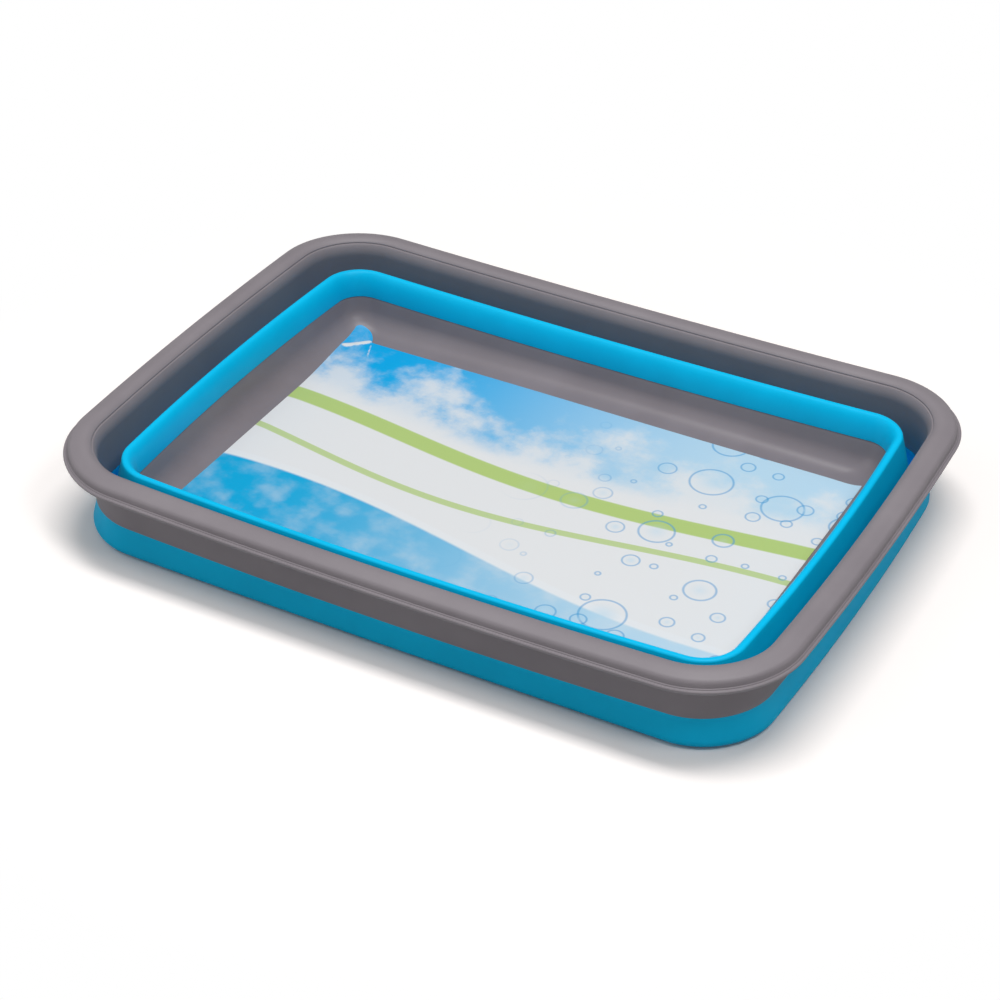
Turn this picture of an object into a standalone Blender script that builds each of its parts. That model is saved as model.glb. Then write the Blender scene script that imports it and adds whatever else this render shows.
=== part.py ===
"""Collapsible wash basin, folded flat, in metres with +Z up.

The basin is a stiff rim frame and a stiff base tray, joined by one soft wall.
Folded, the soft wall makes two turns: down from the rim to a low fold near the
ground, up again to a ridge inside the rim, and down to the edge of the tray.
Each of the three runs is a ring of its own, because each moves differently.
X runs along the length, Y across it, and the origin is on the ground, in the
middle. Every ring follows the same rounded outline, drawn in by its inset.
"""

import math

import bmesh
import bpy
import numpy as np

MM = 0.001

# Driving dimensions of the plan, measured over the lip of the rim.
LENGTH = 385.0 * MM
WIDTH = 280.0 * MM
CORNER_RADIUS = 47.6 * MM
INNER_CORNER_RADIUS = 12.0 * MM
SHORT_SIDE_BOW = 4.3 * MM
LONG_SIDE_BOW = 1.3 * MM

# Driving heights of the folded basin.
FOLDED_HEIGHT = 49.6 * MM
RIDGE_HEIGHT = 37.95 * MM
TRAY_TOP = 24.4 * MM
FLOOR_TOP = 7.5 * MM
LOW_FOLD_CLEARANCE = 1.0 * MM
RIM_SAG = 3.2 * MM

# Rim frame: a rolled flange that runs down into a skirt.
RIM_WALL = 2.0 * MM
RIM_DEPTH = 33.8 * MM
LIP_DROP = 6.4 * MM
SHOULDER_DROP = 4.2 * MM
SHOULDER_RADIUS = 2.2 * MM
BROW_INSET = 14.9 * MM
BROW_RISE = 2.3 * MM
BROW_RADIUS = 6.5 * MM
SKIRT_FOOT_INSET = 17.2 * MM

# Soft wall: its thickness, and the insets of its two folds.
SOFT_WALL = 1.5 * MM
CUFF_LENGTH = 2.0 * MM
CUFF_RADIUS = 4.0 * MM
LOW_FOLD_OUTER_INSET = 11.5 * MM
LOW_FOLD_SPLIT_INSET = 17.8 * MM
LOW_FOLD_INNER_INSET = 20.8 * MM
LOW_FOLD_RADIUS = 3.0 * MM
RIDGE_INSET = 30.1 * MM
RIDGE_WIDTH = 3.5 * MM
RIDGE_RADIUS = 1.0 * MM

# Base tray: a cove-sided floor on a notched apron.
TRAY_WALL = 2.0 * MM
TRAY_TOP_INSET = 34.7 * MM
COVE_FOOT_INSET = 37.5 * MM
COVE_RADIUS = 11.0 * MM
APRON_FOOT_INSET = 35.4 * MM
NOTCH_HEIGHT = 5.0 * MM
MIDDLE_FOOT_LENGTH = 70.0 * MM
CORNER_FOOT_RUN = 26.0 * MM

# Label: a sheet stuck to the flat of the tray's floor.
LABEL_THICKNESS = 0.35 * MM
LABEL_END_MARGIN = 2.8 * MM
LABEL_SIDE_MARGIN = 9.6 * MM
LABEL_CORNER_RADIUS = 1.5 * MM

# Clearance between neighbouring pieces, and how far a cutter overruns.
GAP = 0.3 * MM
OVERRUN = 1.0 * MM

# Facets: steps in each corner, along each side and round each rolled edge.
CORNER_STEPS = 7
SIDE_STEPS = 4
ROLL_STEPS = 4
LABEL_CORNER_STEPS = 3
SHARP_ANGLE = math.radians(40.0)

# The part of a straight leg that a fillet beside it may take.
FILLET_ROOM_SHARE = 0.95

# Heights and insets that follow from the sizes above.
RIM_FOOT = FOLDED_HEIGHT - RIM_DEPTH
LOW_FOLD_MIDDLE = LOW_FOLD_CLEARANCE + SOFT_WALL / 2
RIDGE_MIDDLE = RIDGE_HEIGHT - SOFT_WALL / 2
LIFT = 2 * (RIDGE_MIDDLE - LOW_FOLD_MIDDLE)

GREY = (0.262, 0.235, 0.255)
BLUE = (0.0, 0.385, 0.604)
PAPER = (0.78, 0.84, 0.88)


def clear_scene():
    """Remove every object that the scene starts with."""
    for obj in list(bpy.data.objects):
        bpy.data.objects.remove(obj, do_unlink=True)


def make_material(name, colour, roughness, metallic=0.0):
    """A Principled material of one colour."""
    material = bpy.data.materials.new(name)
    material.use_nodes = True
    shader = material.node_tree.nodes["Principled BSDF"]
    shader.inputs["Base Color"].default_value = (*colour, 1.0)
    shader.inputs["Roughness"].default_value = roughness
    shader.inputs["Metallic"].default_value = metallic
    return material


def rounded_rectangle(half_x, half_y, radius, corner_steps, side_steps):
    """Points round a rectangle with arc corners, counter-clockwise from the +X side."""
    turns = np.linspace(0.0, math.pi / 2, corner_steps + 1)
    corners = []
    for quarter, (sign_x, sign_y) in enumerate(((1, 1), (-1, 1), (-1, -1), (1, -1))):
        angles = turns + quarter * math.pi / 2
        x = sign_x * (half_x - radius) + radius * np.cos(angles)
        y = sign_y * (half_y - radius) + radius * np.sin(angles)
        corners.append(np.column_stack((x, y)))
    points = []
    for corner, following in zip(corners, corners[1:] + corners[:1]):
        along = np.linspace(0.0, 1.0, side_steps + 1)[1:-1, None]
        points += [corner, corner[-1] + (following[0] - corner[-1]) * along]
    return np.concatenate(points)


def ring_outline(inset):
    """The basin's outline, drawn in by the inset, and how far each point sags."""
    half_x = LENGTH / 2 - SHORT_SIDE_BOW - inset
    half_y = WIDTH / 2 - LONG_SIDE_BOW - inset
    radius = max(CORNER_RADIUS - inset, INNER_CORNER_RADIUS)
    points = rounded_rectangle(half_x, half_y, radius, CORNER_STEPS, SIDE_STEPS)
    across, along = points[:, 0] / half_x, points[:, 1] / half_y
    x = points[:, 0] + SHORT_SIDE_BOW * across * (1 - along**2)
    y = points[:, 1] + LONG_SIDE_BOW * along * (1 - across**2)
    return x, y, RIM_SAG * (1 - across**2)


def direction_and_length(vector):
    """The unit vector along this one, and its length."""
    length = np.linalg.norm(vector)
    return vector / length, length


def rounded_path(corners, radii):
    """A path through the corners, each inner one rounded to its radius or to what its legs hold."""
    corners = np.array(corners)
    path = [corners[0]]
    for corner, after, radius in zip(corners[1:], corners[2:], radii):
        arriving, room_before = direction_and_length(corner - path[-1])
        leaving, room_after = direction_and_length(after - corner)
        turn = math.acos(float(np.clip(arriving @ leaving, -1.0, 1.0)))
        room = FILLET_ROOM_SHARE * min(room_before, room_after)
        radius = min(radius, room / math.tan(turn / 2))
        start = corner - arriving * radius * math.tan(turn / 2)
        side = (leaving - arriving * (arriving @ leaving)) / math.sin(turn)
        for angle in np.linspace(0.0, turn, ROLL_STEPS + 1):
            swing = arriving * math.sin(angle) + side * (1 - math.cos(angle))
            path.append(start + radius * swing)
    path.append(corners[-1])
    return np.array(path)


def offset_path(path, distance):
    """The path moved sideways to its left by the distance, mitred at each point."""
    steps = np.diff(path, axis=0)
    steps = steps / np.linalg.norm(steps, axis=1)[:, None]
    arriving = np.concatenate((steps[:1], steps))
    leaving = np.concatenate((steps, steps[-1:]))
    mean = arriving + leaving
    mean = mean / np.linalg.norm(mean, axis=1)[:, None]
    stretch = (mean * leaving).sum(axis=1)
    left = np.column_stack((-mean[:, 1], mean[:, 0]))
    return path + left * distance / stretch[:, None]


def sheet_section(path, thickness):
    """The closed outline of a sheet of the thickness that follows the path."""
    one_side = offset_path(path, thickness / 2)
    other_side = offset_path(path, -thickness / 2)
    return np.concatenate((one_side, other_side[::-1]))


def place_loops(section, sag_from, sag_to):
    """One loop of points for each (inset, height) of the section, with its share of the sag."""
    loops = []
    for inset, height in section:
        x, y, sag = ring_outline(inset)
        share = min(max((height - sag_from) / (sag_to - sag_from), 0.0), 1.0)
        loops.append(np.column_stack((x, y, height - sag * share)))
    return loops


def loops_to_object(name, loops, material, closed):
    """A body skinned over the loops: a closed ring of them, or a stack with both ends filled."""
    mesh = bmesh.new()
    rings = [[mesh.verts.new(point) for point in loop] for loop in loops]
    following = rings[1:] + rings[:1] if closed else rings[1:]
    for ring, after in zip(rings, following):
        for index in range(len(ring)):
            quad = (ring[index - 1], ring[index], after[index], after[index - 1])
            mesh.faces.new(quad)
    if not closed:
        mesh.faces.new(rings[0])
        mesh.faces.new(rings[-1])
    bmesh.ops.recalc_face_normals(mesh, faces=mesh.faces)
    data = bpy.data.meshes.new(name)
    mesh.to_mesh(data)
    mesh.free()
    data.shade_smooth()
    data.set_sharp_from_angle(angle=SHARP_ANGLE)
    data.materials.append(material)
    obj = bpy.data.objects.new(name, data)
    bpy.context.scene.collection.objects.link(obj)
    return obj


def make_carrier(name):
    """An empty on the lifting axis, which carries what moves together."""
    carrier = bpy.data.objects.new(name, None)
    bpy.context.scene.collection.objects.link(carrier)
    return carrier


def rim_path():
    """Middle of the rim's sheet: up the lip, over the flange and down the skirt."""
    lip_inset = RIM_WALL / 2
    foot_inset = SKIRT_FOOT_INSET + RIM_WALL / 2
    corners = (
        (lip_inset, FOLDED_HEIGHT - LIP_DROP),
        (lip_inset, FOLDED_HEIGHT - SHOULDER_DROP),
        (BROW_INSET, FOLDED_HEIGHT + BROW_RISE),
        (foot_inset, RIM_FOOT),
    )
    path = rounded_path(corners, (SHOULDER_RADIUS, BROW_RADIUS))
    crown = sheet_section(path, RIM_WALL)[:, 1].max()
    path[:, 1] = RIM_FOOT + (path[:, 1] - RIM_FOOT) * RIM_DEPTH / (crown - RIM_FOOT)
    return path


def make_rim_frame(material):
    """The stiff rim: rolled flange, lip and skirt in one moulding."""
    section = sheet_section(rim_path(), RIM_WALL)
    loops = place_loops(section, LOW_FOLD_CLEARANCE, RIM_FOOT)
    return loops_to_object("rim_frame", loops, material, closed=True)


def make_upper_wall(material):
    """The soft wall's outer run, from a cuff in line with the skirt to half of the low fold."""
    skirt = rim_path()[-2:]
    onward, _ = direction_and_length(skirt[1] - skirt[0])
    corners = (
        skirt[1] + onward * GAP,
        skirt[1] + onward * (GAP + CUFF_LENGTH),
        (LOW_FOLD_OUTER_INSET, LOW_FOLD_MIDDLE),
        (LOW_FOLD_SPLIT_INSET - GAP / 2, LOW_FOLD_MIDDLE),
    )
    path = rounded_path(corners, (CUFF_RADIUS, LOW_FOLD_RADIUS))
    section = sheet_section(path, SOFT_WALL)
    loops = place_loops(section, LOW_FOLD_CLEARANCE, RIM_FOOT)
    return loops_to_object("upper_wall", loops, material, closed=True)


def make_fold_wall(material):
    """The soft wall's middle run, from the low fold up to half of the ridge."""
    corners = (
        (LOW_FOLD_SPLIT_INSET + GAP / 2, LOW_FOLD_MIDDLE),
        (LOW_FOLD_INNER_INSET, LOW_FOLD_MIDDLE),
        (RIDGE_INSET - (RIDGE_WIDTH - SOFT_WALL) / 2, RIDGE_MIDDLE),
        (RIDGE_INSET - GAP / 2, RIDGE_MIDDLE),
    )
    path = rounded_path(corners, (LOW_FOLD_RADIUS, RIDGE_RADIUS))
    section = sheet_section(path, SOFT_WALL)
    loops = place_loops(section, LOW_FOLD_CLEARANCE, RIDGE_HEIGHT)
    return loops_to_object("fold_wall", loops, material, closed=True)


def make_lower_wall(material):
    """The soft wall's inner run, from the ridge down to the edge of the tray."""
    corners = (
        (RIDGE_INSET + GAP / 2, RIDGE_MIDDLE),
        (RIDGE_INSET + (RIDGE_WIDTH - SOFT_WALL) / 2, RIDGE_MIDDLE),
        (TRAY_TOP_INSET - SOFT_WALL / 2, TRAY_TOP),
    )
    section = sheet_section(rounded_path(corners, (RIDGE_RADIUS,)), SOFT_WALL)
    loops = place_loops(section, FLOOR_TOP, TRAY_TOP)
    return loops_to_object("lower_wall", loops, material, closed=True)


def tray_path():
    """Middle of the tray's sheet: down the side, round the cove and on to the flat floor."""
    floor_middle = FLOOR_TOP - TRAY_WALL / 2
    corners = (
        (TRAY_TOP_INSET - TRAY_WALL / 2, TRAY_TOP - GAP),
        (COVE_FOOT_INSET, floor_middle),
        (COVE_FOOT_INSET + 2 * COVE_RADIUS, floor_middle),
    )
    return rounded_path(corners, (COVE_RADIUS,))[:-1]


def tray_section():
    """The tray's outline from the top of the floor, over the edge, to the floor's underside."""
    path = tray_path()
    wet_side = offset_path(path, TRAY_WALL / 2)
    underside = offset_path(path, -TRAY_WALL / 2)
    apron_inset = APRON_FOOT_INSET + TRAY_WALL
    junction = np.interp(apron_inset, underside[:, 0], underside[:, 1])
    apron = np.array(
        (
            underside[0],
            (APRON_FOOT_INSET, 0.0),
            (apron_inset, 0.0),
            (apron_inset, junction),
        )
    )
    return np.concatenate((wet_side[::-1], apron, underside[underside[:, 0] > apron_inset]))


def make_cutter(name, size, centre):
    """A box that only cuts, hidden from the render."""
    mesh = bmesh.new()
    bmesh.ops.create_cube(mesh, size=1.0)
    bmesh.ops.scale(mesh, vec=size, verts=mesh.verts)
    data = bpy.data.meshes.new(name)
    mesh.to_mesh(data)
    mesh.free()
    cutter = bpy.data.objects.new(name, data)
    cutter.location = centre
    cutter.hide_render = True
    cutter.display_type = "WIRE"
    bpy.context.scene.collection.objects.link(cutter)
    return cutter


def notch_cutters():
    """Boxes that notch the apron from outside: two in each long side and one in each end."""
    height, level = NOTCH_HEIGHT + OVERRUN, (NOTCH_HEIGHT - OVERRUN) / 2
    straight_x = LENGTH / 2 - SHORT_SIDE_BOW - CORNER_RADIUS
    straight_y = WIDTH / 2 - LONG_SIDE_BOW - CORNER_RADIUS
    near, far = MIDDLE_FOOT_LENGTH / 2, straight_x - CORNER_FOOT_RUN
    apron_x, apron_y = LENGTH / 2 - APRON_FOOT_INSET, WIDTH / 2 - APRON_FOOT_INSET
    reach_x = SHORT_SIDE_BOW + TRAY_WALL + 2 * OVERRUN
    reach_y = LONG_SIDE_BOW + TRAY_WALL + 2 * OVERRUN
    side_notch = (far - near, reach_y, height)
    end_notch = (reach_x, 2 * (straight_y - CORNER_FOOT_RUN), height)
    side_x, side_y = (near + far) / 2, apron_y + OVERRUN - reach_y / 2
    end_x = apron_x + OVERRUN - reach_x / 2
    cutters = []
    for side, sign in (("back", 1), ("front", -1)):
        for half, turn in (("right", 1), ("left", -1)):
            centre = (turn * side_x, sign * side_y, level)
            cutters.append(make_cutter(f"notch_cutter_{side}_{half}", side_notch, centre))
    for end, turn in (("right_end", 1), ("left_end", -1)):
        centre = (turn * end_x, 0.0, level)
        cutters.append(make_cutter(f"notch_cutter_{end}", end_notch, centre))
    return cutters


def make_base_tray(material):
    """The stiff base: a floor with coved sides, standing on a notched apron."""
    loops = place_loops(tray_section(), FLOOR_TOP, TRAY_TOP - GAP)
    tray = loops_to_object("base_tray", loops, material, closed=False)
    for cutter in notch_cutters():
        notch = tray.modifiers.new(cutter.name, "BOOLEAN")
        notch.operation = "DIFFERENCE"
        notch.solver = "EXACT"
        notch.object = cutter
    return tray


def make_paper_label(material):
    """The paper sheet that lies on the flat of the floor."""
    flat_inset = tray_path()[-1, 0]
    half_x = LENGTH / 2 - flat_inset - LABEL_END_MARGIN
    half_y = WIDTH / 2 - flat_inset - LABEL_SIDE_MARGIN
    outline = rounded_rectangle(half_x, half_y, LABEL_CORNER_RADIUS, LABEL_CORNER_STEPS, 1)
    loops = []
    for height in (FLOOR_TOP + GAP, FLOOR_TOP + GAP + LABEL_THICKNESS):
        loops.append(np.column_stack((outline, np.full(len(outline), height))))
    return loops_to_object("paper_label", loops, material, closed=False)


def main():
    clear_scene()
    grey_plastic = make_material("warm_grey_plastic", GREY, 0.5)
    blue_rubber = make_material("blue_soft_wall", BLUE, 0.42)
    paper = make_material("coated_paper", PAPER, 0.35)

    make_base_tray(grey_plastic)
    make_lower_wall(blue_rubber)
    make_paper_label(paper)

    fold_carrier = make_carrier("fold_carrier")
    make_fold_wall(blue_rubber).parent = fold_carrier

    rim_carrier = make_carrier("rim_carrier")
    make_rim_frame(grey_plastic).parent = rim_carrier
    make_upper_wall(blue_rubber).parent = rim_carrier

    print(f"rim lifts {LIFT / MM:.1f} mm, open height {(FOLDED_HEIGHT + LIFT) / MM:.1f} mm")


main()
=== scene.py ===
# %% [markdown]
# # A folding washing-up basin
#
# The real thing is three mouldings: a stiff grey rim, a stiff grey tray, and
# one soft blue wall between them that folds flat like bellows. A printed paper
# sheet lies in the tray. The frame below is the engineering model with its
# joints. Every piece in this lesson is a finer skin over that frame. All but
# the middle run of the wall ride on its bodies, so that lifting the rim lifts
# the rim's pieces with it.

# %% Load the frame
import math

import bpy
import numpy as np
from mathutils import Matrix, Vector


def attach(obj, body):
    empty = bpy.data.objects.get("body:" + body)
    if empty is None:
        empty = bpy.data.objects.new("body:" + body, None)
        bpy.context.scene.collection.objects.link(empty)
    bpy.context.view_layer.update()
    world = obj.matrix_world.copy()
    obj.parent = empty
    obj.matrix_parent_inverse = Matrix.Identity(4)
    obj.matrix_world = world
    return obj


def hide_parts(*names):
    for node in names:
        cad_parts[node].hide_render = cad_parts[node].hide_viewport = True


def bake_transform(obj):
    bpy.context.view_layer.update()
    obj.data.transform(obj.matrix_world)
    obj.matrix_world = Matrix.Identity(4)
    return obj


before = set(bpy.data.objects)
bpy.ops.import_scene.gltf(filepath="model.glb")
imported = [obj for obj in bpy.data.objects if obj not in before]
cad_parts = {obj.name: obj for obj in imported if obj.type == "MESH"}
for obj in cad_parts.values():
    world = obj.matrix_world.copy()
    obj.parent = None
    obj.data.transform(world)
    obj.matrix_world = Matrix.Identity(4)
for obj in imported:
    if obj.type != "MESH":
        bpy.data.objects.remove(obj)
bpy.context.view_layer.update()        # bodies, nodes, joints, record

# %% [markdown]
# ## Sizes that every piece shares
#
# The rim, the wall and the tray all follow one outline, a rectangle with round
# corners whose sides bow out a little. A piece is then a profile, drawn as
# (inset, height), carried round that outline. The inset is measured inwards
# from the outline of the engineering model, and these sizes are that model's.

# %% Shared sizes
MM = 0.001
LENGTH, WIDTH = 385.0 * MM, 280.0 * MM
CORNER_RADIUS, INNER_CORNER_RADIUS = 47.6 * MM, 12.0 * MM
SHORT_SIDE_BOW, LONG_SIDE_BOW = 4.3 * MM, 1.3 * MM
RIM_SAG, RIM_FOOT = 3.2 * MM, 15.8 * MM
RIDGE_HEIGHT, TRAY_TOP, FLOOR_TOP = 37.95 * MM, 24.4 * MM, 7.5 * MM
TRAY_EDGE_INSET = 34.7 * MM
GROUND_GAP, GAP = 1.0 * MM, 0.3 * MM
RIM_WALL, SOFT_WALL, TRAY_WALL = 2.0 * MM, 1.5 * MM, 2.0 * MM

# %% [markdown]
# ## A profile, and its outline on the real object
#
# A moulded sheet has the same thickness nearly everywhere, soft turns and
# narrow rounded ends. It could be drawn as a surface with a Solidify modifier,
# but the ends would stay square. Here the middle line of the sheet is worked
# out first, as straight legs joined by arcs. Both faces are then offset from it,
# and each end gets a small squared-off nose.

# %% Middle line of a moulded sheet
LEG_SHARE, NOSE_POWER = 0.95, 0.45


def arc_at_corner(before, corner, after, radius, steps=14):
    """Points of the arc that rounds one corner.

    The arc touches both legs at radius times tan(half the turn) from the corner,
    which takes at most LEG_SHARE of the shorter leg.
    """
    arriving, leaving = corner - before, after - corner
    room = LEG_SHARE * min(np.linalg.norm(arriving), np.linalg.norm(leaving))
    arriving = arriving / np.linalg.norm(arriving)
    leaving = leaving / np.linalg.norm(leaving)
    turn = math.acos(float(np.clip(arriving @ leaving, -1.0, 1.0)))
    radius = min(radius, room / math.tan(turn / 2))
    side = (leaving - arriving * (arriving @ leaving)) / math.sin(turn)
    angle = np.linspace(0.0, turn, steps + 1)[:, None]
    start = corner - arriving * radius * math.tan(turn / 2)
    return start + radius * (arriving * np.sin(angle) + side * (1 - np.cos(angle)))


def middle_line(corners, radii):
    """Straight legs through the corners, with an arc of its own radius at each."""
    corners = np.array(corners, float)
    path = corners[:1]
    for index, radius in enumerate(radii, start=1):
        arc = arc_at_corner(path[-1], corners[index], corners[index + 1], radius)
        path = np.concatenate((path, arc))
    return np.concatenate((path, corners[-1:]))


def distance_along(path):
    """Length of the path up to each of its points."""
    steps = np.linalg.norm(np.diff(path, axis=0), axis=1)
    return np.concatenate(([0.0], np.cumsum(steps)))


def spaced(path, spacing, fine=(), reach=1.0 * MM, fine_spacing=0.12 * MM):
    """The path read again at even steps, with close steps around each fine place.

    Fine places are distances along the path. All places are rounded to a micron.
    """
    along = distance_along(path)
    places = [np.linspace(0.0, along[-1], int(along[-1] / spacing) + 2)]
    for place in fine:
        count = int(2 * reach / fine_spacing) + 1
        places.append(np.linspace(place - reach, place + reach, count))
    places = np.unique(np.round(np.clip(np.concatenate(places), 0.0, along[-1]), 6))
    return np.column_stack([np.interp(places, along, path[:, axis]) for axis in (0, 1)])


def sideways(path):
    """Unit vector to the left of the path at each point."""
    step = np.gradient(path, axis=0)
    step = step / np.linalg.norm(step, axis=1)[:, None]
    return np.column_stack((-step[:, 1], step[:, 0]))


def sheet_outline(path, thickness, raised=0.0, nose=0.3 * MM, steps=6):
    """The closed outline of a sheet round its middle line.

    Each face is half the thickness from the line, and the left one is lifted by
    raised as well. Each end is a nose: across it the cosine, and out of it the sine,
    of an angle, both to a power below a half, so that its corners are nearly square.
    """
    left = sideways(path)
    angle = np.linspace(0.0, math.pi / 2, steps + 2)[1:-1]
    across, out = np.cos(angle) ** NOSE_POWER, np.sin(angle) ** NOSE_POWER
    across = np.concatenate((across, [0.0], -across[::-1]))[:, None] * thickness / 2
    out = np.concatenate((out, [1.0], out[::-1]))[:, None] * nose
    far = path[-1] + (path[-1] - path[-2]) / np.linalg.norm(path[-1] - path[-2]) * out
    near = path[0] - (path[1] - path[0]) / np.linalg.norm(path[1] - path[0]) * out
    lift = np.broadcast_to(np.asarray(raised, float), (len(path),))[:, None]
    outline = (
        path + left * (thickness / 2 + lift),
        far + left[-1] * across,
        (path - left * thickness / 2)[::-1],
        near - left[0] * across,
    )
    return np.concatenate(outline)


test_line = middle_line(((0, 0), (10, 0), (10, 10)), (4,))
print("test line length", round(float(distance_along(test_line)[-1]), 3))

# %% [markdown]
# ## The outline that every ring follows
#
# A rectangle with round corners can be drawn with four numbers for each point:
# two that say which arc centre it belongs to, and two that say where on the
# arc it is. Because the numbers hold for every inset, a whole ring of any
# profile is a single array sum, with no loop over its points.

# %% The outline and the rings
def outline_numbers(corner_steps=22, long_stops=None, short_stops=None):
    """Four numbers (a, b, c, s) for each point round the outline.

    x is a times the arc centre's x plus c times the radius, and y likewise with b
    and s. On a straight side a or b runs from one corner to the next, and c and s stay.
    Stops are where a straight side's points lie, from 0 to 1.
    """
    if long_stops is None:
        long_stops = np.linspace(0.0, 1.0, 33)[1:-1]
    if short_stops is None:
        short_stops = np.linspace(0.0, 1.0, 23)[1:-1]
    turn = np.linspace(0.0, math.pi / 2, corner_steps + 1)
    signs = ((1, 1), (-1, 1), (-1, -1), (1, -1))
    blocks = []
    for quarter, (sign_x, sign_y) in enumerate(signs):
        angle = turn + quarter * math.pi / 2
        ones = np.ones_like(angle)
        arc = (sign_x * ones, sign_y * ones, np.cos(angle), np.sin(angle))
        next_x, next_y = signs[(quarter + 1) % 4]
        stops = long_stops if quarter % 2 == 0 else short_stops
        ones = np.ones_like(stops)
        side = (
            sign_x + (next_x - sign_x) * stops,
            sign_y + (next_y - sign_y) * stops,
            math.cos(angle[-1]) * ones,
            math.sin(angle[-1]) * ones,
        )
        blocks += [np.stack(arc), np.stack(side)]
    return np.concatenate(blocks, axis=1)


def ring_points(profile, sag_from, sag_to, numbers):
    """The profile carried round the outline, as an array (profile, outline, 3).

    Each (inset, height) shrinks the rectangle and its corner radius by the inset.
    The sides then bow out as 1 minus the square of the distance along them, and the
    long sides sag by the same law, fully above sag_to and not at all below sag_from.
    """
    a, b, c, s = numbers
    inset, height = profile[:, :1], profile[:, 1:]
    half_x = LENGTH / 2 - SHORT_SIDE_BOW - inset
    half_y = WIDTH / 2 - LONG_SIDE_BOW - inset
    radius = np.maximum(CORNER_RADIUS - inset, INNER_CORNER_RADIUS)
    x = a * (half_x - radius) + c * radius
    y = b * (half_y - radius) + s * radius
    across, along = x / half_x, y / half_y
    share = np.clip((height - sag_from) / (sag_to - sag_from), 0.0, 1.0)
    points = (
        x + SHORT_SIDE_BOW * across * (1 - along**2),
        y + LONG_SIDE_BOW * along * (1 - across**2),
        height - RIM_SAG * share * (1 - across**2),
    )
    return np.stack(points, axis=-1)


outline = outline_numbers()
print("outline points", outline.shape[1])

# %% [markdown]
# ## From an array of points to a mesh
#
# Blender could build these faces with bmesh one at a time, which is slow for a
# fine grid. Index arithmetic on whole arrays gives the same quads at once. The
# enclosed volume, summed over the quads, is negative when the faces
# point inwards, and then every face is turned round.

# %% Mesh from a grid
def quads_of_grid(rows, columns, rows_close):
    """Corner indices of each quad; columns always close, rows where asked."""
    last = rows if rows_close else rows - 1
    row, column = np.meshgrid(np.arange(last), np.arange(columns), indexing="ij")
    below, beside = (row + 1) % rows, (column + 1) % columns
    quads = (
        row * columns + column,
        row * columns + beside,
        below * columns + beside,
        below * columns + column,
    )
    return np.stack(quads, axis=-1).reshape(-1, 4)


def enclosed_volume(points, quads):
    """The sum of corner dot (corner cross corner) over all the triangles, over 6."""
    p = points[quads]
    first = np.einsum("ij,ij->i", p[:, 0], np.cross(p[:, 1], p[:, 2]))
    second = np.einsum("ij,ij->i", p[:, 0], np.cross(p[:, 2], p[:, 3]))
    return float((first + second).sum() / 6)


def mesh_object(name, points, faces, sharp_angle=50.0):
    """An object of these points and faces, smooth except where faces meet sharply."""
    mesh = bpy.data.meshes.new(name)
    mesh.from_pydata(points.tolist(), [], faces)
    mesh.update()
    mesh.shade_smooth()
    mesh.set_sharp_from_angle(angle=math.radians(sharp_angle))
    piece = bpy.data.objects.new(name, mesh)
    bpy.context.scene.collection.objects.link(piece)
    return piece


def ring_object(name, rings, rows_close=True):
    """A closed skin over the rings: a hollow loop, or a stack with two flat lids."""
    rows, columns = rings.shape[:2]
    points = rings.reshape(-1, 3)
    quads = quads_of_grid(rows, columns, rows_close)
    inward = enclosed_volume(points, quads) < 0
    if inward:
        quads = quads[:, ::-1]
    faces = quads.tolist()
    if not rows_close:
        first, last = np.arange(columns), np.arange(columns) + (rows - 1) * columns
        faces += [first.tolist(), last[::-1].tolist()]
        if not inward:
            faces[-2:] = [first[::-1].tolist(), last.tolist()]
    piece = mesh_object(name, points, faces)
    low, high = points.min(axis=0) / MM, points.max(axis=0) / MM
    print(name, len(faces), "faces", np.round(low, 2), "to", np.round(high, 2), "mm")
    return piece


# %% [markdown]
# ## Grain that more than one finish shares
#
# Mould steel is spark-eroded or blasted, and it leaves a fine pebbled skin on
# every plastic part, with broader, fainter patches where the melt cooled at
# different speeds. One node group makes both from noise in object space. It
# puts out a height for a Bump node and a mask for colour and gloss, and each
# material says how fine its pebbles are.

# %% Moulded grain node group
def add_socket(tree, name, direction, value=0.0):
    """One number socket on a node group's interface."""
    socket = tree.interface.new_socket(
        name=name, in_out=direction, socket_type="NodeSocketFloat"
    )
    socket.default_value = value


def link(tree, source, source_name, target, target_name):
    """A link between two nodes' sockets by name or number."""
    tree.links.new(source.outputs[source_name], target.inputs[target_name])


def math_node(tree, operation, first, second=None):
    """A Math node whose inputs are sockets or numbers."""
    node = tree.nodes.new("ShaderNodeMath")
    node.operation = operation
    for index, value in enumerate((first, second)):
        if value is None:
            continue
        if isinstance(value, (int, float)):
            node.inputs[index].default_value = value
        else:
            tree.links.new(value, node.inputs[index])
    return node.outputs[0]


def make_grain_group():
    """Height and Mottle from object coordinates: pebbles, and broad faint patches."""
    tree = bpy.data.node_groups.new("moulded_grain", "ShaderNodeTree")
    add_socket(tree, "Pebbles per metre", "INPUT", 1400.0)
    add_socket(tree, "Patches per metre", "INPUT", 28.0)
    add_socket(tree, "Height", "OUTPUT")
    add_socket(tree, "Mottle", "OUTPUT")
    inside = tree.nodes.new("NodeGroupInput")
    outside = tree.nodes.new("NodeGroupOutput")
    place = tree.nodes.new("ShaderNodeTexCoord")
    for scale, detail, roughness, result in (
        ("Pebbles per metre", 3.0, 0.6, "Height"),
        ("Patches per metre", 4.0, 0.55, "Mottle"),
    ):
        noise = tree.nodes.new("ShaderNodeTexNoise")
        noise.inputs["Detail"].default_value = detail
        noise.inputs["Roughness"].default_value = roughness
        link(tree, place, "Object", noise, "Vector")
        link(tree, inside, scale, noise, "Scale")
        link(tree, noise, "Fac", outside, result)
    return tree


grain_group = make_grain_group()
socket_names = [item.name for item in grain_group.interface.items_tree]
print("group", grain_group.name, socket_names)

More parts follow.
